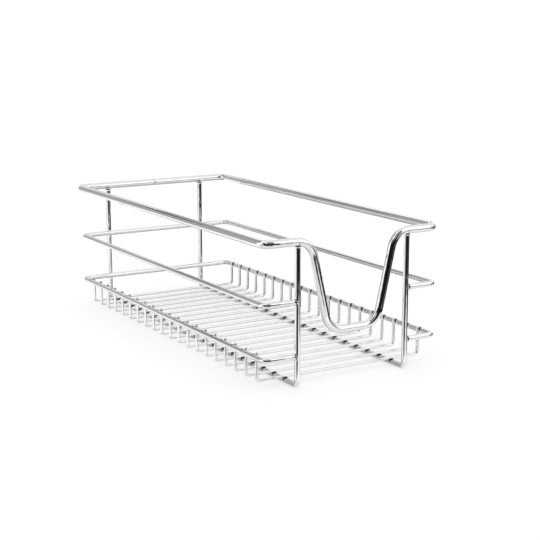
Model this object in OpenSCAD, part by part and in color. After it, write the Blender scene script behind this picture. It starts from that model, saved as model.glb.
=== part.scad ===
// Pull-out basket for a kitchen cabinet, made of bright steel wires bent to shape and welded.
// +Y runs from the handle to the back, +X to the right and +Z up. The floor is z = 0.
// Widths, depths, heights and bend radii are all taken on the wires' centre lines.

/* [Rim] */
// Width of the rim
rim_w = 198; // [180:1:260]
// Depth of the rim, front to back
rim_depth = 440; // [380:1:500]
// Height of the rim above the floor
rim_h = 141.5; // [135:0.5:170]
// Diameter of the rim's wire
rim_d = 8; // [7:0.5:9]
// Bend radius at the rim's four corners
rim_bend = 10; // [8:1:18]

/* [Handle] */
// Width of the dip in the rim that is the handle, from one shoulder's start to the other's
dip_w = 129; // [120:1:150]
// Angle that the wire turns through at each shoulder and at each side of the foot
dip_turn = 77; // [70:1:80]
// Bend radius at the dip's shoulders and foot
dip_bend = 20; // [14:1:20]
// Straight length of each side of the dip
dip_side = 60.5; // [40:0.5:64]

/* [Rails] */
// Height of the middle rail above the floor
middle_h = 84; // [70:0.5:95]
// Height of the lower rail above the floor
lower_h = 31; // [26:0.5:40]
// Diameter of the wire of both rails
rail_d = 5.6; // [5:0.1:6]
// Bend radius at the rails' corners
rail_bend = 7; // [6:1:14]

/* [Frames] */
// Distance between the two U-shaped frames that stand on the floor
frame_gap = 126; // [122:1:134]
// Distance from the rim's back to the frames' rear uprights
frame_inset = 4; // [3:0.5:4]
// Diameter of the frames' wire
frame_d = 5.6; // [5:0.1:6]
// Bend radius where an upright turns into the runner
frame_bend = 6; // [5:0.5:10]

/* [Cross wires] */
// Number of wires across the floor
cross_count = 20; // [16:1:24]
// Diameter of a cross wire
cross_d = 3; // [2.5:0.1:3.4]
// Bend radius where a cross wire turns up
cross_bend = 3; // [2.5:0.5:6]
// How far the cut ends stand above the lower rail
cross_proud = 0.6; // [0.4:0.1:3]

/* [Welds] */
// How far two crossing wires sink into each other at a weld
weld_sink = 0.4; // [0.2:0.1:0.5]
// Extra radius of the weld at a wire's butted end
weld_flare = 0.7; // [0.4:0.1:1]
// Length of that flare
weld_len = 2.6; // [1.5:0.1:4]

/* [Hidden] */
$fn = 48;
CHROME = [0.8, 0.81, 0.83];
function cross_name(i) = str("cross_wire_", i < 10 ? "0" : "", i);

// A butted end stops this far short of the axis of the wire that it meets
butt_cut = 1.2;
// A seat is cut by a rod that reaches this far past the wire on both sides
seat_reach = 10;
// A bend squeezes the wire this much thicker all round, and the straights run this far into it
bend_swell = 0.02;
bend_tuck = 0.3;
// The rim's two ends stop this far from each other, inside a weld that is ground nearly flush
rim_weld_gap = 0.4;
rim_weld_len = 3;

front_y = -rim_depth / 2;
back_y = rim_depth / 2;
frame_x = frame_gap / 2;
frame_back_y = back_y - frame_inset;
// The runners stand on the floor, and the rails' backs cross the rear uprights on their inner side
runner_h = frame_d / 2 + bend_swell;
rail_back_y = frame_back_y - (frame_d + rail_d) / 2 + weld_sink;
// The cross wires lie on the runners and turn up inside the lower rail
cross_h = runner_h + (frame_d + cross_d) / 2 - weld_sink;
cross_x = (rim_w - rail_d - cross_d) / 2 + weld_sink;
cross_top = lower_h + rail_d / 2 + cross_proud;
// The wires divide the way from the front uprights to the rails' back into equal gaps
cross_pitch = (rail_back_y - front_y) / (cross_count + 1);

// Wire fed and bent as a bending machine does it. It starts along +Z, and each step is
// [feed, roll, angle, radius]: that much straight wire, then a bend towards +X turned by roll.
// The last step is a feed alone. A welded wire has both its ends flared.
module wire(steps, d, welded = false, i = 0) {
    last = i == len(steps) - 1;
    feed = steps[i][0];
    start = i == 0 ? 0 : -bend_tuck;
    end = last ? feed : feed + bend_tuck;
    translate([0, 0, start]) cylinder(h = end - start, d = d);
    if (welded && i == 0) cylinder(h = weld_len, d1 = d + 2 * weld_flare, d2 = d);
    if (welded && last)
        translate([0, 0, feed - weld_len]) cylinder(h = weld_len, d1 = d, d2 = d + 2 * weld_flare);
    if (!last) {
        angle = steps[i][2];
        radius = steps[i][3];
        translate([0, 0, feed]) rotate([0, 0, steps[i][1]]) translate([radius, 0, 0]) {
            rotate([90, 0, 180]) rotate_extrude(angle = angle)
                translate([radius, 0]) circle(d = d + 2 * bend_swell);
            rotate([0, angle, 0]) translate([-radius, 0, 0]) wire(steps, d, welded, i + 1);
        }
    }
}

// The rim: one wire that runs from the middle of the back round the left side, down and up
// through the handle and round the right side, to the butt weld that closes it
module rim_wire() {
    back_run = (rim_w - rim_weld_gap) / 2 - rim_bend;
    side_run = rim_depth - 2 * rim_bend;
    front_run = (rim_w - dip_w) / 2 - rim_bend;
    foot_run = dip_w - 4 * dip_bend * sin(dip_turn) - 2 * dip_side * cos(dip_turn);
    translate([-rim_weld_gap / 2, back_y, rim_h]) rotate([90, 0, -90]) wire([
        [back_run, 0, 90, rim_bend],
        [side_run, 0, 90, rim_bend],
        [front_run, -90, dip_turn, dip_bend],
        [dip_side, 180, dip_turn, dip_bend],
        [foot_run, 0, dip_turn, dip_bend],
        [dip_side, 180, dip_turn, dip_bend],
        [front_run, 90, 90, rim_bend],
        [side_run, 0, 90, rim_bend],
        [back_run]
    ], rim_d);
    translate([0, back_y, rim_h]) rotate([0, 90, 0])
        cylinder(h = rim_weld_len, d = rim_d + 2 * bend_swell, center = true);
}

// A rod that cuts the seat of an upright into a wire at height h
module upright_seat(x, y, h) {
    translate([x, y, h - seat_reach]) cylinder(h = 2 * seat_reach, d = frame_d);
}

// A rail at height h: open at the front, where its ends butt against the front uprights
module rail(h) {
    end_x = frame_x + butt_cut;
    return_run = rim_w / 2 - rail_bend - end_x;
    side_run = rail_back_y - front_y - 2 * rail_bend;
    difference() {
        translate([-end_x, front_y, h]) rotate([-90, 0, 90]) wire([
            [return_run, 0, 90, rail_bend],
            [side_run, 0, 90, rail_bend],
            [rim_w - 2 * rail_bend, 0, 90, rail_bend],
            [side_run, 0, 90, rail_bend],
            [return_run]
        ], rail_d, welded = true);
        for (x = [-frame_x, frame_x], y = [front_y, frame_back_y]) upright_seat(x, y, h);
    }
}

// A U-shaped frame: front upright, runner and rear upright, butted under the rim
module frame(x) {
    top = rim_h - rim_d / 2 + butt_cut;
    upright = top - runner_h - frame_bend;
    difference() {
        translate([x, front_y, top]) rotate([180, 0, 90]) wire([
            [upright, 0, 90, frame_bend],
            [frame_back_y - front_y - 2 * frame_bend, 0, 90, frame_bend],
            [upright]
        ], frame_d, welded = true);
        rim_wire();
    }
}

// A rod along Y that cuts the seat of a runner or rail into a cross wire
module cross_seat(x, y, h, d) {
    translate([x, y - seat_reach, h]) rotate([-90, 0, 0]) cylinder(h = 2 * seat_reach, d = d);
}

// A cross wire at depth y: across both runners and up inside the lower rail
module cross_wire(y) {
    end_run = cross_top - cross_h - cross_bend;
    difference() {
        translate([-cross_x, y, cross_top]) rotate([180, 0, 0]) wire([
            [end_run, 0, 90, cross_bend],
            [2 * (cross_x - cross_bend), 0, 90, cross_bend],
            [end_run]
        ], cross_d);
        for (side = [-1, 1]) {
            cross_seat(side * frame_x, y, runner_h, frame_d);
            cross_seat(side * rim_w / 2, y, lower_h, rail_d);
        }
    }
}

module top_rail() { color(CHROME) rim_wire(); }
module middle_rail() { color(CHROME) rail(middle_h); }
module lower_rail() { color(CHROME) rail(lower_h); }
module left_frame() { color(CHROME) frame(-frame_x); }
module right_frame() { color(CHROME) frame(frame_x); }
module floor_wire(i) { color(CHROME) cross_wire(front_y + i * cross_pitch); }

top_rail();
middle_rail();
lower_rail();
left_frame();
right_frame();
for (i = [1 : cross_count])
    floor_wire(i);
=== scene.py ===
import math

import bpy
import numpy as np
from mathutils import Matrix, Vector


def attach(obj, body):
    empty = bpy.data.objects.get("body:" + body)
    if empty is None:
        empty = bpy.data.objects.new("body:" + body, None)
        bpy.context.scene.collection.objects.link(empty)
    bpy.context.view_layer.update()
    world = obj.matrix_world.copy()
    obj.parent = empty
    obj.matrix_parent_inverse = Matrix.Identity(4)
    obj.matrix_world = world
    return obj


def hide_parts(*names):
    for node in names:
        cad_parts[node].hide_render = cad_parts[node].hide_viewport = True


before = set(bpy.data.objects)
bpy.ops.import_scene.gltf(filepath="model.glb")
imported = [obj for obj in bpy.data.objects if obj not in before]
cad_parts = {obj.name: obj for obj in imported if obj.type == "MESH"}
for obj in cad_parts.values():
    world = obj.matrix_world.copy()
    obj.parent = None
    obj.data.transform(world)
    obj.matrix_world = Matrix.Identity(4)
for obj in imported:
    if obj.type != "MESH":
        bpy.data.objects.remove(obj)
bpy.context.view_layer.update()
mm = 0.001               # every length below is so many millimetres times this
print("frame loaded:", len(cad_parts), "wires")

cameraLook = {
    # Place, heading, dip and lens were fitted, outside this script, to edges of wires in the photo
    "place": (-0.6672, -1.1798, 0.3515),
    "heading": 30.89,    # degrees turned right from +Y
    "dip": 11.80,        # degrees below the horizon
    "lens": 82.88,       # in millimetres, as is the sensor's width
    "sensor": 36,
    "nearest": 50 * mm,
}


def makeCamera(look):
    heading, dip = math.radians(look["heading"]), math.radians(look["dip"])
    level = math.cos(dip)
    forward = Vector((math.sin(heading) * level, math.cos(heading) * level, -math.sin(dip)))
    lens = bpy.data.cameras.new("camera")
    lens.sensor_width = look["sensor"]
    lens.lens = look["lens"]
    lens.clip_start = look["nearest"]
    camera = bpy.data.objects.new("camera", lens)
    camera.location = look["place"]
    camera.rotation_euler = forward.to_track_quat("-Z", "Y").to_euler()
    bpy.context.scene.collection.objects.link(camera)
    bpy.context.scene.camera = camera


makeCamera(cameraLook)
print("camera placed")


def unit(v):
    v = np.asarray(v, float)
    return v / np.linalg.norm(v)


wireMesh = {
    "straightStep": 12 * mm,     # the longest gap between two rings on a straight
    "leastGap": 0.02 * mm,       # rings closer together than this become one
    "weldSpan": 2.4,             # a weld's rings go this many times its reach to each side
    "weldTrials": 4000,          # points tried along a wire to find where a weld is
    "joinSlack": 1e-9,           # a ring right at a join is taken to be on both stretches
}


def bendWire(start, ahead, inside, steps):
    # The wire is fed and bent as on a bending machine. Each step is (feed, roll, angle, radius):
    # a straight of that length, then a bend towards the inside direction, once that is rolled
    # about the wire. Returns the stretches, each with its frame, and the whole length.
    place, ahead, inside = np.asarray(start, float), unit(ahead), unit(inside)
    ring, length, stretches = inside, 0.0, []
    for feed, roll, angle, radius in steps:
        stretches.append({"from": length, "to": length + feed, "radius": 0.0,
                          "place": place, "ahead": ahead, "inside": inside, "ring": ring})
        place, length = place + feed * ahead, length + feed
        if not angle:
            continue
        roll, angle = math.radians(roll), math.radians(angle)
        inside = math.cos(roll) * inside + math.sin(roll) * np.cross(ahead, inside)
        stretches.append({"from": length, "to": length + radius * angle, "radius": radius,
                          "place": place, "ahead": ahead, "inside": inside, "ring": ring})
        axle = np.cross(ahead, inside)
        turnedIn = math.cos(angle) * inside - math.sin(angle) * ahead
        place = place + radius * (inside + math.sin(angle) * ahead - math.cos(angle) * inside)
        ahead = math.cos(angle) * ahead + math.sin(angle) * inside
        ring = (ring @ inside) * turnedIn + (ring @ axle) * axle
        inside, length = turnedIn, length + radius * angle
    return stretches, length


def wireAxis(stretches, lengths):
    # Centre line at the given lengths. A straight is place + s * ahead. A bend is
    # place + radius * (inside + sin t * ahead - cos t * inside) with t = s / radius, and the
    # ring direction turns with it about the bend's axle.
    point = np.zeros((len(lengths), 3))
    heading, ring = point.copy(), point.copy()
    slack = wireMesh["joinSlack"]
    for part in stretches:
        on = (lengths >= part["from"] - slack) & (lengths <= part["to"] + slack)
        s = (lengths[on] - part["from"])[:, None]
        ahead, inside, radius = part["ahead"], part["inside"], part["radius"]
        if radius:
            t = s / radius
            axle = np.cross(ahead, inside)
            turnedIn = np.cos(t) * inside - np.sin(t) * ahead
            point[on] = part["place"] + radius * (inside + np.sin(t) * ahead - np.cos(t) * inside)
            heading[on] = np.cos(t) * ahead + np.sin(t) * inside
            ring[on] = (part["ring"] @ inside) * turnedIn + (part["ring"] @ axle) * axle
        else:
            point[on] = part["place"] + s * ahead
            heading[on] = ahead
            ring[on] = part["ring"]
    return point, heading, ring


def stationsAlong(stretches, length, welds, finish):
    # Rings every few degrees of a bend, now and then along a straight, and close together at
    # welds and at the rounded edge of a cut end
    edge = finish["edge"] * (1 - np.cos(np.linspace(0, np.pi / 2, finish["edgeRings"])))
    spots = [edge, length - edge]
    for part in stretches:
        size, gap = part["to"] - part["from"], wireMesh["straightStep"]
        if part["radius"]:
            gap = part["radius"] * math.radians(finish["bendStep"])
        spots.append(np.linspace(part["from"], part["to"], max(2, math.ceil(size / gap) + 1)))
    reaches = np.linspace(-wireMesh["weldSpan"], wireMesh["weldSpan"], finish["weldRings"])
    for bead in welds:
        spots.append(bead["at"] + bead["reach"] * reaches)
    lengths = np.sort(np.concatenate(spots))
    lengths = lengths[(lengths >= 0) & (lengths <= length)]
    return lengths[np.concatenate([[True], np.diff(lengths) > wireMesh["leastGap"]])]


def weldAt(place, toward, kind, markToward=None):
    # A weld of that kind. It lifts the wire's surface towards one side, or all round where there
    # is none, and its dark mark, part weld discolouration and part painted shade where the wires
    # touch, lies on the same side unless another is given.
    return {**weld[kind], "place": np.asarray(place, float), "toward": toward,
            "markToward": markToward or toward}


def placeWelds(welds, stretches, length):
    # Finds where along the wire each weld is
    trial = np.linspace(0, length, wireMesh["weldTrials"])
    points = wireAxis(stretches, trial)[0]
    for bead in welds:
        bead["at"] = trial[np.argmin(np.linalg.norm(points - bead["place"], axis=1))]


def swellAtWelds(lengths, length, outward, radius, welds, closed):
    # A weld lifts the radius by lift * exp(-(distance / reach)^2) * cos^2 of the angle to its
    # direction, or evenly all round where it has none. It marks the surface by
    # exp(-(distance / mark)^2) * (1 + cos of the angle to its mark's direction) / 2.
    # The mark is part weld discolouration and part painted shade where the wires touch
    size, weldAndShadeNear = np.full(outward.shape[:2], radius), np.zeros(outward.shape[:2])
    for bead in welds:
        away = np.abs(lengths - bead["at"])
        if closed:
            away = np.minimum(away, length - away)
        near = np.exp(-(away / bead["reach"]) ** 2)[:, None]
        mark = np.exp(-(away / bead["mark"]) ** 2)[:, None]
        if bead["toward"] is not None:
            near = near * np.clip(outward @ unit(bead["toward"]), 0, 1) ** 2
            mark = mark * (0.5 + 0.5 * np.clip(outward @ unit(bead["markToward"]), -1, 1))
        size += bead["lift"] * near
        weldAndShadeNear = np.maximum(weldAndShadeNear, mark)
    return size, weldAndShadeNear


def joinRings(rings, sides, closed):
    # Four-sided faces from each ring to the next, and at a cut end a fan round its middle point.
    # Returns them and how many belong to the fans, which come last.
    grid = np.arange(rings * sides).reshape(rings, sides)
    upper = np.roll(grid, -1, axis=0) if closed else grid[1:]
    lower = grid if closed else grid[:-1]
    quads = np.stack([lower, np.roll(lower, -1, 1), np.roll(upper, -1, 1), upper], -1).reshape(-1, 4)
    if closed:
        return quads.tolist(), 0
    first, final = np.full(sides, rings * sides), np.full(sides, rings * sides + 1)
    startFan = np.stack([np.roll(grid[0], -1), grid[0], first], -1)
    endFan = np.stack([grid[-1], np.roll(grid[-1], -1), final], -1)
    return quads.tolist() + startFan.tolist() + endFan.tolist(), 2 * sides


def addPiece(name, vertices, faces, capFaces, places, marks):
    # The last capFaces of the faces are cut ends, which are flat and wear the second material
    mesh = bpy.data.meshes.new(name)
    mesh.from_pydata(vertices.tolist(), [], faces)
    isCap = np.arange(len(faces)) >= len(faces) - capFaces
    mesh.polygons.foreach_set("use_smooth", ~isCap)
    mesh.polygons.foreach_set("material_index", isCap.astype(np.int32))
    mesh.attributes.new("alongWire", "FLOAT_VECTOR", "POINT").data.foreach_set(
        "vector", places.astype(np.float32).ravel())
    # How near each point is to a weld's dark mark, which is partly painted shade
    mesh.attributes.new("weldAndShadeNear", "FLOAT", "POINT").data.foreach_set(
        "value", marks.astype(np.float32))
    piece = bpy.data.objects.new(name, mesh)
    bpy.context.scene.collection.objects.link(piece)
    return piece


def makeWire(name, stretches, length, radius, welds, finish, closed=False):
    # Tube surface: centre + r(s, a) * (cos a * ring + sin a * heading x ring), where s runs along
    # the wire and a round it. A cut end's edge is round: with u = 1 - distance / edge, r falls
    # there by edge * (1 - sqrt(1 - u^2)).
    placeWelds(welds, stretches, length)
    lengths = stationsAlong(stretches, length, welds, finish)
    if closed:
        lengths = lengths[:-1]
    point, heading, ring = wireAxis(stretches, lengths)
    turn = np.linspace(0, 2 * np.pi, finish["sides"], endpoint=False)
    twist = np.zeros(len(lengths))
    if closed:               # the ring direction comes back turned, so the wire takes that turn up
        last = wireAxis(stretches, np.array([length]))[2][0]
        across = np.cross(heading[0], last)
        twist = math.atan2(ring[0] @ across, ring[0] @ last) * lengths / length
    angle = turn[None, :] + twist[:, None]
    side = np.cross(heading, ring)
    outward = np.cos(angle)[..., None] * ring[:, None] + np.sin(angle)[..., None] * side[:, None]
    size, weldAndShadeNear = swellAtWelds(lengths, length, outward, radius, welds, closed)
    if not closed:
        u = np.clip(1 - np.minimum(lengths, length - lengths) / finish["edge"], 0, 1)
        size -= (finish["edge"] * (1 - np.sqrt(1 - u ** 2)))[:, None]
    surface = point[:, None] + size[..., None] * outward
    alongWire = np.stack([np.broadcast_to(lengths[:, None], angle.shape),
                          radius * np.cos(angle), radius * np.sin(angle)], -1)
    vertices, places, marks = surface.reshape(-1, 3), alongWire.reshape(-1, 3), weldAndShadeNear.reshape(-1)
    if not closed:           # the middle of each cut end
        vertices = np.concatenate([vertices, [point[0], point[-1]]])
        places = np.concatenate([places, [[0, 0, 0], [length, 0, 0]]])
        marks = np.concatenate([marks, [0, 0]])
    faces, capFaces = joinRings(len(lengths), finish["sides"], closed)
    return addPiece(name, vertices, faces, capFaces, places, marks)


rim = {
    "width": 198 * mm,
    "depth": 440 * mm,
    "height": 141.5 * mm,
    "thick": 8 * mm,
    "bend": 10 * mm,
    "dipWidth": 129 * mm,
    "dipTurn": 77,
    "dipBend": 20 * mm,
    "dipSide": 60.5 * mm,
    "finish": {"sides": 64, "bendStep": 3, "weldRings": 15, "edge": 0.3 * mm, "edgeRings": 2},
}
rail = {
    "heights": {"middle_rail": 84 * mm, "lower_rail": 31 * mm},
    "thick": 5.6 * mm,
    "bend": 7 * mm,
    "finish": {"sides": 48, "bendStep": 4, "weldRings": 13, "edge": 0.3 * mm, "edgeRings": 3},
}
floorFrame = {
    "gap": 126 * mm,
    "inset": 4 * mm,
    "thick": 5.6 * mm,
    "bend": 6 * mm,
    "finish": {"sides": 48, "bendStep": 5, "weldRings": 13, "edge": 0.3 * mm, "edgeRings": 3},
}
crossWire = {
    "count": 20,
    "thick": 3 * mm,
    "bend": 3 * mm,
    "proud": 0.6 * mm,
    "finish": {"sides": 32, "bendStep": 6, "weldRings": 13, "edge": 0.45 * mm, "edgeRings": 5},
}
weldSink = 0.4 * mm              # how far two crossing wires melt into each other
buttCut = 1.2 * mm               # how far short of the other wire's axis a butted end stops
bendSwell = 0.02 * mm            # a bend makes the wire this much thicker all round
# The dark mark at a cross wire's tip is painted shade where the tip meets the rail, with some weld
# discolouration
tipRise = 0.8                    # a tip's dark mark faces inwards, and up by this share of that
weld = {
    # How far each kind lifts the surface, and how far that and its dark mark reach along the wire.
    # The mark is part weld discolouration and part painted shade where the wires touch.
    "collar": {"lift": 0.3 * mm, "reach": 1.0 * mm, "mark": 0.8 * mm},
    "saddle": {"lift": 0.3 * mm, "reach": 3.0 * mm, "mark": 1.2 * mm},
    "runner": {"lift": 0.4 * mm, "reach": 1.5 * mm, "mark": 4.5 * mm},
    "tip": {"lift": 0.4 * mm, "reach": 1.5 * mm, "mark": 3.2 * mm},
    "wire": {"lift": 0.4 * mm, "reach": 1.5 * mm, "mark": 1.6 * mm},
    # The rim's closing weld is ground flush and leaves a fine groove
    "seam": {"lift": -0.12 * mm, "reach": 0.5 * mm, "mark": 0.22 * mm},
}

frontY, backY = -rim["depth"] / 2, rim["depth"] / 2
halfWidth = rim["width"] / 2
frameX = floorFrame["gap"] / 2
frameBackY = backY - floorFrame["inset"]
runnerZ = floorFrame["thick"] / 2 + bendSwell
railBackY = frameBackY - (floorFrame["thick"] + rail["thick"]) / 2 + weldSink
crossZ = runnerZ + (floorFrame["thick"] + crossWire["thick"]) / 2 - weldSink
crossX = (rim["width"] - rail["thick"] - crossWire["thick"]) / 2 + weldSink
crossTop = rail["heights"]["lower_rail"] + rail["thick"] / 2 + crossWire["proud"]
crossPitch = (railBackY - frontY) / (crossWire["count"] + 1)
crossYs = frontY + crossPitch * np.arange(1, crossWire["count"] + 1)


def standsFor(piece, node):
    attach(piece, "root")
    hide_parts(node)
    return piece


def makeRim():
    backRun, sideRun = halfWidth - rim["bend"], rim["depth"] - 2 * rim["bend"]
    frontRun = halfWidth - rim["bend"] - rim["dipWidth"] / 2
    turn = math.radians(rim["dipTurn"])
    shoulders, legs = 4 * rim["dipBend"] * math.sin(turn), 2 * rim["dipSide"] * math.cos(turn)
    footRun = rim["dipWidth"] - shoulders - legs
    corner, dip = (90, rim["bend"]), (rim["dipTurn"], rim["dipBend"])
    steps = [
        (backRun, 0, *corner),
        (sideRun, 0, *corner),
        (frontRun, -90, *dip),
        (rim["dipSide"], 180, *dip),
        (footRun, 0, *dip),
        (rim["dipSide"], 180, *dip),
        (frontRun, 90, *corner),
        (sideRun, 0, *corner),
        (backRun, 0, 0, 0),
    ]
    stretches, length = bendWire((0, backY, rim["height"]), (-1, 0, 0), (0, -1, 0), steps)
    down = (0, 0, -1)
    welds = [weldAt((x, y, rim["height"]), down, "saddle")
             for x in (-frameX, frameX) for y in (frontY, frameBackY)]
    welds.append(weldAt((0, backY, rim["height"]), None, "seam"))
    piece = makeWire("rimWire", stretches, length, rim["thick"] / 2, welds, rim["finish"], closed=True)
    return standsFor(piece, "top_rail")


def makeRail(node):
    height = rail["heights"][node]
    endX = frameX + buttCut
    returnRun, sideRun = halfWidth - rail["bend"] - endX, railBackY - frontY - 2 * rail["bend"]
    corner = (0, 90, rail["bend"])
    steps = [
        (returnRun, *corner),
        (sideRun, *corner),
        (rim["width"] - 2 * rail["bend"], *corner),
        (sideRun, *corner),
        (returnRun, 0, 0, 0),
    ]
    stretches, length = bendWire((-endX, frontY, height), (-1, 0, 0), (0, 1, 0), steps)
    buttX = frameX + floorFrame["thick"] / 2
    welds = [weldAt((x, frontY, height), None, "collar") for x in (-buttX, buttX)]
    welds += [weldAt((x, railBackY, height), (0, 1, 0), "saddle") for x in (-frameX, frameX)]
    if node == "lower_rail":
        welds += [weldAt((side * halfWidth, y, height), (-side, 0, 0), "tip", (-side, 0, tipRise))
                  for y in crossYs for side in (-1, 1)]
    name = node.replace("_rail", "RailWire")
    piece = makeWire(name, stretches, length, rail["thick"] / 2, welds, rail["finish"])
    return standsFor(piece, node)


def makeFrame(node, x):
    top = rim["height"] - rim["thick"] / 2 + buttCut
    upright = top - runnerZ - floorFrame["bend"]
    corner = (0, 90, floorFrame["bend"])
    steps = [
        (upright, *corner),
        (frameBackY - frontY - 2 * floorFrame["bend"], *corner),
        (upright, 0, 0, 0),
    ]
    stretches, length = bendWire((x, frontY, top), (0, 0, -1), (0, 1, 0), steps)
    rimUnder = rim["height"] - rim["thick"] / 2
    outside, back, up = (math.copysign(1, x), 0, 0), (0, -1, 0), (0, 0, 1)
    welds = [weldAt((x, y, rimUnder), None, "collar") for y in (frontY, frameBackY)]
    for height in rail["heights"].values():
        welds.append(weldAt((x, frontY, height), outside, "saddle"))
        welds.append(weldAt((x, frameBackY, height), back, "saddle"))
    welds += [weldAt((x, y, runnerZ), up, "runner") for y in crossYs]
    name = node.replace("_frame", "FrameWire")
    piece = makeWire(name, stretches, length, floorFrame["thick"] / 2, welds, floorFrame["finish"])
    return standsFor(piece, node)


def makeCrossWire(number, y):
    endRun = crossTop - crossZ - crossWire["bend"]
    corner = (0, 90, crossWire["bend"])
    steps = [
        (endRun, *corner),
        (2 * (crossX - crossWire["bend"]), *corner),
        (endRun, 0, 0, 0),
    ]
    stretches, length = bendWire((-crossX, y, crossTop), (0, 0, -1), (1, 0, 0), steps)
    down, railZ = (0, 0, -1), rail["heights"]["lower_rail"]
    welds = [weldAt((side * frameX, y, crossZ), down, "wire") for side in (-1, 1)]
    welds += [weldAt((side * crossX, y, railZ), (side, 0, 0), "wire") for side in (-1, 1)]
    name = f"crossWire{number:02d}"
    piece = makeWire(name, stretches, length, crossWire["thick"] / 2, welds, crossWire["finish"])
    return standsFor(piece, f"cross_wire_{number:02d}")


rimPiece = makeRim()
railPieces = [makeRail(node) for node in rail["heights"]]
framePieces = [makeFrame("left_frame", -frameX), makeFrame("right_frame", frameX)]
crossPieces = [makeCrossWire(number + 1, y) for number, y in enumerate(crossYs)]
print("wires made:", 1 + len(railPieces) + len(framePieces) + len(crossPieces))


def addNode(tree, kind, links=(), **settings):
    # A node of that kind. Settings name its properties, and each link is (input, value or socket).
    # An input goes by number where its name is no help, as on Mix, which has several called A.
    node = tree.nodes.new(kind)
    for name, value in settings.items():
        setattr(node, name, value)
    for place, value in links:
        if isinstance(value, bpy.types.NodeSocket):
            tree.links.new(value, node.inputs[place])
        else:
            node.inputs[place].default_value = value
    return node


def mathNode(tree, operation, *values):
    return addNode(tree, "ShaderNodeMath", list(enumerate(values)), operation=operation).outputs[0]


def startGroup(name, inputs, outputs):
    # An empty node group with those sockets, each (label, kind)
    tree = bpy.data.node_groups.new(name, "ShaderNodeTree")
    for label, kind in inputs:
        tree.interface.new_socket(label, in_out="INPUT", socket_type="NodeSocket" + kind)
    for label, kind in outputs:
        tree.interface.new_socket(label, in_out="OUTPUT", socket_type="NodeSocket" + kind)
    return tree, tree.nodes.new("NodeGroupInput").outputs, tree.nodes.new("NodeGroupOutput").inputs


patterns = {
    # Each noise's roughness and detail, and which part of its range is spread over the pattern.
    # The fray is how far the noise moves the edge of a weld's mark.
    "cloud": {"roughness": 0.55, "low": 0.3, "high": 0.7},
    "lines": {"roughness": 0.6, "detail": 2.0},
    "weld": {"roughness": 0.6, "detail": 4.0, "fray": 0.4, "low": 0.4, "high": 0.75},
}


def noiseNode(tree, place, scale, detail, roughness):
    return addNode(tree, "ShaderNodeTexNoise", [
        ("Vector", place), ("Scale", scale), ("Detail", detail), ("Roughness", roughness)]).outputs["Fac"]


def makeCloudGroup():
    # A soft cloud of the given size, from 0 to High: uneven polish, slow waves in the wire or a tear
    look = patterns["cloud"]
    floats = [(label, "Float") for label in ("Size", "Detail", "High")]
    tree, given, result = startGroup("polishCloud", [("Place", "Vector"), *floats], [("Value", "Float")])
    scale = mathNode(tree, "DIVIDE", 1.0, given["Size"])
    noise = noiseNode(tree, given["Place"], scale, given["Detail"], look["roughness"])
    spread = addNode(tree, "ShaderNodeMapRange", [
        ("Value", noise), ("From Min", look["low"]), ("From Max", look["high"]), ("To Max", given["High"])])
    tree.links.new(spread.outputs[0], result["Value"])
    return tree


def makeDrawLineGroup():
    # Fine lines along the wire, left by the die that it was drawn through
    look = patterns["lines"]
    inputs = [("Along Wire", "Vector"), ("Spacing", "Float"), ("Length", "Float")]
    tree, given, result = startGroup("drawLines", inputs, [("Height", "Float")])
    part = addNode(tree, "ShaderNodeSeparateXYZ", [(0, given["Along Wire"])])
    stretched = addNode(tree, "ShaderNodeCombineXYZ", [
        (0, mathNode(tree, "DIVIDE", part.outputs[0], given["Length"])),
        (1, mathNode(tree, "DIVIDE", part.outputs[1], given["Spacing"])),
        (2, mathNode(tree, "DIVIDE", part.outputs[2], given["Spacing"]))])
    noise = noiseNode(tree, stretched.outputs[0], 1.0, look["detail"], look["roughness"])
    tree.links.new(noise, result["Height"])
    return tree


def makeWeldAndShadeGroup():
    # Where the wire is welded: a mask that frays at its edge, for a dark colour that is part weld
    # discolouration and part painted shade, and the bead's fine ripple
    look = patterns["weld"]
    inputs = [("Near", "Float"), ("Place", "Vector"), ("Grain", "Float")]
    tree, given, result = startGroup("weldHeatAndShade", inputs, [("Mask", "Float"), ("Height", "Float")])
    scale = mathNode(tree, "DIVIDE", 1.0, given["Grain"])
    noise = noiseNode(tree, given["Place"], scale, look["detail"], look["roughness"])
    nearer = mathNode(tree, "SUBTRACT", given["Near"], look["fray"] / 2)
    frayed = mathNode(tree, "MULTIPLY_ADD", noise, look["fray"], nearer)
    mask = addNode(tree, "ShaderNodeMapRange", [
        ("Value", frayed), ("From Min", look["low"]), ("From Max", look["high"])],
        interpolation_type="SMOOTHSTEP").outputs[0]
    tree.links.new(mask, result["Mask"])
    tree.links.new(mathNode(tree, "MULTIPLY", noise, mask), result["Height"])
    return tree


def mixColour(tree, factor, first, second):
    mix = addNode(tree, "ShaderNodeMix", [(0, factor), (6, first), (7, second)], data_type="RGBA")
    return mix.outputs[2]


def placeGroup(tree, group, links):
    return addNode(tree, "ShaderNodeGroup", links, node_tree=group).outputs


def blankMaterial(name):
    material = bpy.data.materials.new(name)
    material.use_nodes = True
    material.node_tree.nodes.clear()
    return material, material.node_tree


def addMetal(tree, colour, roughness, height):
    # Bare or plated metal with that relief, whose height is in metres
    bump = addNode(tree, "ShaderNodeBump", [("Height", height), ("Strength", 1.0), ("Distance", 1.0)])
    shader = addNode(tree, "ShaderNodeBsdfPrincipled", [
        ("Base Color", colour), ("Roughness", roughness), ("Metallic", 1.0), ("Normal", bump.outputs[0])])
    addNode(tree, "ShaderNodeOutputMaterial", [("Surface", shader.outputs[0])])


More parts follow.
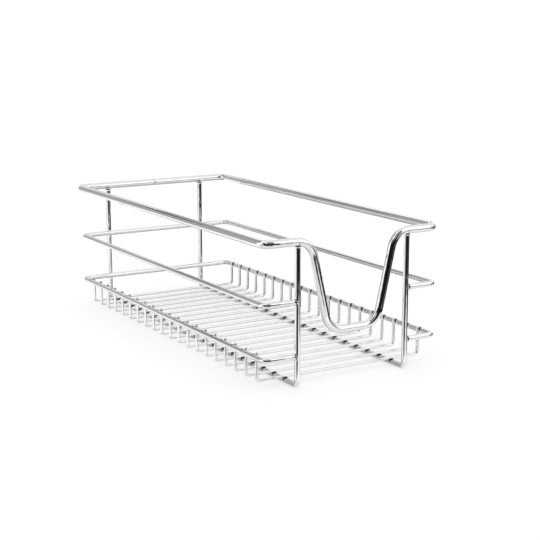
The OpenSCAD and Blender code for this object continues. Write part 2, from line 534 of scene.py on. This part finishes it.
chrome = {
    "colour": (0.93, 0.934, 0.942, 1),
    "cloudColour": (0.90, 0.906, 0.917, 1),
    # Near black at the welds: part weld discolouration, part painted shade where the wires touch
    "weldAndShadeColour": (0.05, 0.05, 0.05, 1),
    "smooth": 0.02,              # roughness where the polish is best
    "dull": 0.045,               # and where it is least
    "cloudSize": 14 * mm,
    "cloudDetail": 3.0,
    "waveSize": 9 * mm,          # slow waves in the surface bend what it mirrors
    "waveDetail": 0.0,
    "lineSpacing": 0.35 * mm,
    "lineLength": 30 * mm,
    "lineHeight": 0.001 * mm,
    "weldGrain": 0.8 * mm,
    "weldHeight": 0.05 * mm,
    "weldDull": 0.14,
}
waveHeights = {                  # thicker wire is straighter and smoother
    "rimChrome": 0.04 * mm,
    "railChrome": 0.05 * mm,
    "frameChrome": 0.05 * mm,
    "wireChrome": 0.06 * mm,
}
cutEnd = {
    "colour": (0.60, 0.60, 0.61, 1),
    "darkColour": (0.30, 0.30, 0.31, 1),
    "smooth": 0.25,
    "dull": 0.45,
    "tearSize": 0.35 * mm,
    "tearDetail": 3.0,
    "tearHeight": 0.03 * mm,
}
cloudGroup, lineGroup, weldAndShadeGroup = makeCloudGroup(), makeDrawLineGroup(), makeWeldAndShadeGroup()


def cloudOf(tree, place, size, detail, high):
    return placeGroup(tree, cloudGroup, [
        ("Place", place), ("Size", size), ("Detail", detail), ("High", high)])["Value"]


def makeChrome(name, look, waveHeight):
    material, tree = blankMaterial(name)
    place = addNode(tree, "ShaderNodeTexCoord").outputs["Object"]
    along = addNode(tree, "ShaderNodeAttribute", attribute_name="alongWire").outputs["Vector"]
    near = addNode(tree, "ShaderNodeAttribute", attribute_name="weldAndShadeNear").outputs["Fac"]
    polish = cloudOf(tree, place, look["cloudSize"], look["cloudDetail"], 1.0)
    wave = cloudOf(tree, place, look["waveSize"], look["waveDetail"], waveHeight)
    lines = placeGroup(tree, lineGroup, [
        ("Along Wire", along), ("Spacing", look["lineSpacing"]), ("Length", look["lineLength"])])["Height"]
    heatAndShade = placeGroup(tree, weldAndShadeGroup, [("Near", near), ("Place", place), ("Grain", look["weldGrain"])])
    plated = mixColour(tree, polish, look["colour"], look["cloudColour"])
    # Painted shade at the joints, with the weld's own discolouration, darkens the plating here
    colour = mixColour(tree, heatAndShade["Mask"], plated, look["weldAndShadeColour"])
    polishDull = mathNode(tree, "MULTIPLY_ADD", polish, look["dull"] - look["smooth"], look["smooth"])
    roughness = mathNode(tree, "MULTIPLY_ADD", heatAndShade["Mask"], look["weldDull"], polishDull)
    height = mathNode(tree, "MULTIPLY_ADD", lines, look["lineHeight"], wave)
    height = mathNode(tree, "MULTIPLY_ADD", heatAndShade["Height"], look["weldHeight"], height)
    addMetal(tree, colour, roughness, height)
    return material


def makeCutEnd(look):
    # A sheared end: grey steel under thin plating, torn a little
    material, tree = blankMaterial("cutEndSteel")
    place = addNode(tree, "ShaderNodeTexCoord").outputs["Object"]
    tear = cloudOf(tree, place, look["tearSize"], look["tearDetail"], 1.0)
    colour = mixColour(tree, tear, look["darkColour"], look["colour"])
    roughness = mathNode(tree, "MULTIPLY_ADD", tear, look["smooth"] - look["dull"], look["dull"])
    addMetal(tree, colour, roughness, mathNode(tree, "MULTIPLY", tear, look["tearHeight"]))
    return material


cutEndSteel = makeCutEnd(cutEnd)
finishes = {name: makeChrome(name, chrome, height) for name, height in waveHeights.items()}
wearers = {"rimChrome": [rimPiece], "railChrome": railPieces, "frameChrome": framePieces,
           "wireChrome": crossPieces}
for name, pieces in wearers.items():
    for piece in pieces:
        piece.data.materials.append(finishes[name])
        piece.data.materials.append(cutEndSteel)
print("materials made:", len(finishes) + 1)

studio = {
    "floorSize": 8.0,
    "floorColour": (0.45, 0.45, 0.45, 1),
    "floorGlow": 0.52,           # what the paper gives out by itself, so that it ends just at white
    "skyStrength": 1.14,         # fitted by the search that the cards below come from
}
# Polished wire shows its surroundings, so flat cards stand round the basket to give it its greys.
# They are seen only in the metal. These values weren't chosen by hand: a search outside this script
# fitted the cards' places, sizes, greys and soft edges to the greys that the photo shows in the
# wires, and its result was written here, rounded. rightWall is from the search before the last.
standingCards = {
    # Each stands upright and faces the basket
    # In front
    "frontBlack": {"centre": (-0.3, -0.95, 0.2), "size": (1.8, 0.75), "shade": 0.01, "soft": 0.08},
    "frontGrey": {"centre": (-0.15, -0.7, 0.9), "size": (0.7, 1), "shade": 0.14, "soft": 0.03},
    "frontLow": {"centre": (-0.25, -0.55, -0.05), "size": (0.6, 0.2), "shade": 0.04, "soft": 0.08},
    "frontStrip": {"centre": (-0.2, -1.05, -0.05), "size": (0.15, 0.1), "shade": 0.76, "soft": 0.01},
    # To the left and right
    "leftEnd": {"centre": (-1.15, -0.7, 0.75), "size": (0.75, 1.05), "shade": 0, "soft": 0.08},
    "leftLow": {"centre": (-1.6, -0.85, -0.25), "size": (1.75, 0.85), "shade": 0.48, "soft": 0.01},
    "rightWall": {"centre": (1.65, -0.35, 0.15), "size": (2.75, 0.9), "shade": 0.46, "soft": 0.01},
    "rightBlack": {"centre": (0.95, -0.35, -0.15), "size": (2.3, 0.35), "shade": 0, "soft": 0.02},
    "rightLow": {"centre": (0.95, -0.55, -0.1), "size": (1.15, 0.2), "shade": 0.28, "soft": 0.02},
    # Behind
    "rearGrey": {"centre": (-0.6, 1.25, 0.8), "size": (1.9, 1.8), "shade": 0.4, "soft": 0.03},
    "backLight": {"centre": (0.25, 1.3, 0.25), "size": (2.25, 1.2), "shade": 0.74, "soft": 0.02},
    "rearBlack": {"centre": (-0.9, 1.6, -0.25), "size": (0.9, 0.55), "shade": 0, "soft": 0.01},
    "highGrey": {"centre": (-0.3, 0.4, 0.85), "size": (1.2, 0.8), "shade": 0.34, "soft": 0.02},
    "rearSpot": {"centre": (-0.25, 0.55, 0.4), "size": (0.2, 0.1), "shade": 0.04, "soft": 0.01},
}
levelCards = {
    # Above the basket, and below it
    "topCard": {"centre": (1.35, 0.4, 1.3), "size": (4.5, 2.1), "shade": 0.82, "soft": 0.08},
    "floorNear": {"centre": (0.55, 0.4, -0.25), "size": (2.65, 1.05), "shade": 0.42, "soft": 0.11},
    "floorLeft": {"centre": (-0.4, -0.45, -0.4), "size": (1.65, 0.95), "shade": 0.8, "soft": 0.01},
    "floorFront": {"centre": (-0.45, 0.2, -0.002), "size": (0.7, 0.7), "shade": 1, "soft": 0.01},
    "floorSide": {"centre": (0.2, -0.45, -0.05), "size": (0.2, 0.6), "shade": 0.88, "soft": 0.01},
}


def makeFloor(look):
    half = look["floorSize"] / 2
    mesh = bpy.data.meshes.new("floor")
    corners = [(-half, -half, 0), (half, -half, 0), (half, half, 0), (-half, half, 0)]
    mesh.from_pydata(corners, [], [(0, 1, 2, 3)])
    floor = bpy.data.objects.new("floor", mesh)
    bpy.context.scene.collection.objects.link(floor)
    material, tree = blankMaterial("floorPaper")
    path = addNode(tree, "ShaderNodeLightPath").outputs
    seen = mathNode(tree, "MAXIMUM", path["Is Camera Ray"], path["Is Glossy Ray"])
    seen = mathNode(tree, "MAXIMUM", seen, path["Is Transmission Ray"])
    paper = addNode(tree, "ShaderNodeBsdfDiffuse", [("Color", look["floorColour"])])
    strength = mathNode(tree, "MULTIPLY", seen, look["floorGlow"])
    glow = addNode(tree, "ShaderNodeEmission", [("Strength", strength)])
    both = addNode(tree, "ShaderNodeAddShader", [(0, paper.outputs[0]), (1, glow.outputs[0])])
    addNode(tree, "ShaderNodeOutputMaterial", [("Surface", both.outputs[0])])
    mesh.materials.append(material)
    floor.visible_glossy = False         # the metal mirrors the white sky and the cards through it


def makeSky(look):
    world = bpy.data.worlds.new("studio")
    world.use_nodes = True
    sky = world.node_tree.nodes["Background"]
    sky.inputs["Color"].default_value = (1, 1, 1, 1)
    sky.inputs["Strength"].default_value = look["skyStrength"]
    bpy.context.scene.world = world


def makeCard(name, card, level):
    # Its edge is soft: the mask is a smooth step of the distance to the nearest side, over "soft"
    centre = Vector(card["centre"])
    up, right = Vector((0, 1, 0)), Vector((1, 0, 0))
    if not level:
        up = Vector((0, 0, 1))
        right = up.cross(Vector((-centre.x, -centre.y, 0))).normalized()
    wide, high = card["size"]
    halfWide, halfHigh = right * wide / 2, up * high / 2
    corners = [centre - halfWide - halfHigh, centre + halfWide - halfHigh,
               centre + halfWide + halfHigh, centre - halfWide + halfHigh]
    mesh = bpy.data.meshes.new(name)
    mesh.from_pydata(corners, [], [(0, 1, 2, 3)])
    mesh.uv_layers.new(name="card").data.foreach_set("uv", [0, 0, 1, 0, 1, 1, 0, 1])
    piece = bpy.data.objects.new(name, mesh)
    bpy.context.scene.collection.objects.link(piece)
    material, tree = blankMaterial(name)
    spot = addNode(tree, "ShaderNodeTexCoord").outputs["UV"]
    part = addNode(tree, "ShaderNodeSeparateXYZ", [(0, spot)]).outputs
    inward = []
    for axis, size in enumerate(card["size"]):
        share = mathNode(tree, "PINGPONG", part[axis], 0.5)      # from the nearer side, at most half
        inward.append(mathNode(tree, "MULTIPLY", share, size / card["soft"]))
    mask = addNode(tree, "ShaderNodeMapRange", [("Value", mathNode(tree, "MINIMUM", *inward))],
                   interpolation_type="SMOOTHSTEP")
    glow = addNode(tree, "ShaderNodeEmission", [("Strength", card["shade"])])
    clear = addNode(tree, "ShaderNodeBsdfTransparent")
    mixed = addNode(tree, "ShaderNodeMixShader", [
        (0, mask.outputs[0]), (1, clear.outputs[0]), (2, glow.outputs[0])])
    addNode(tree, "ShaderNodeOutputMaterial", [("Surface", mixed.outputs[0])])
    mesh.materials.append(material)
    piece.visible_camera = piece.visible_diffuse = piece.visible_shadow = False


makeFloor(studio)
makeSky(studio)
for name, card in standingCards.items():
    makeCard(name, card, False)
for name, card in levelCards.items():
    makeCard(name, card, True)
bpy.context.scene.view_settings.view_transform = "Standard"
print("studio made:", len(standingCards) + len(levelCards), "cards")
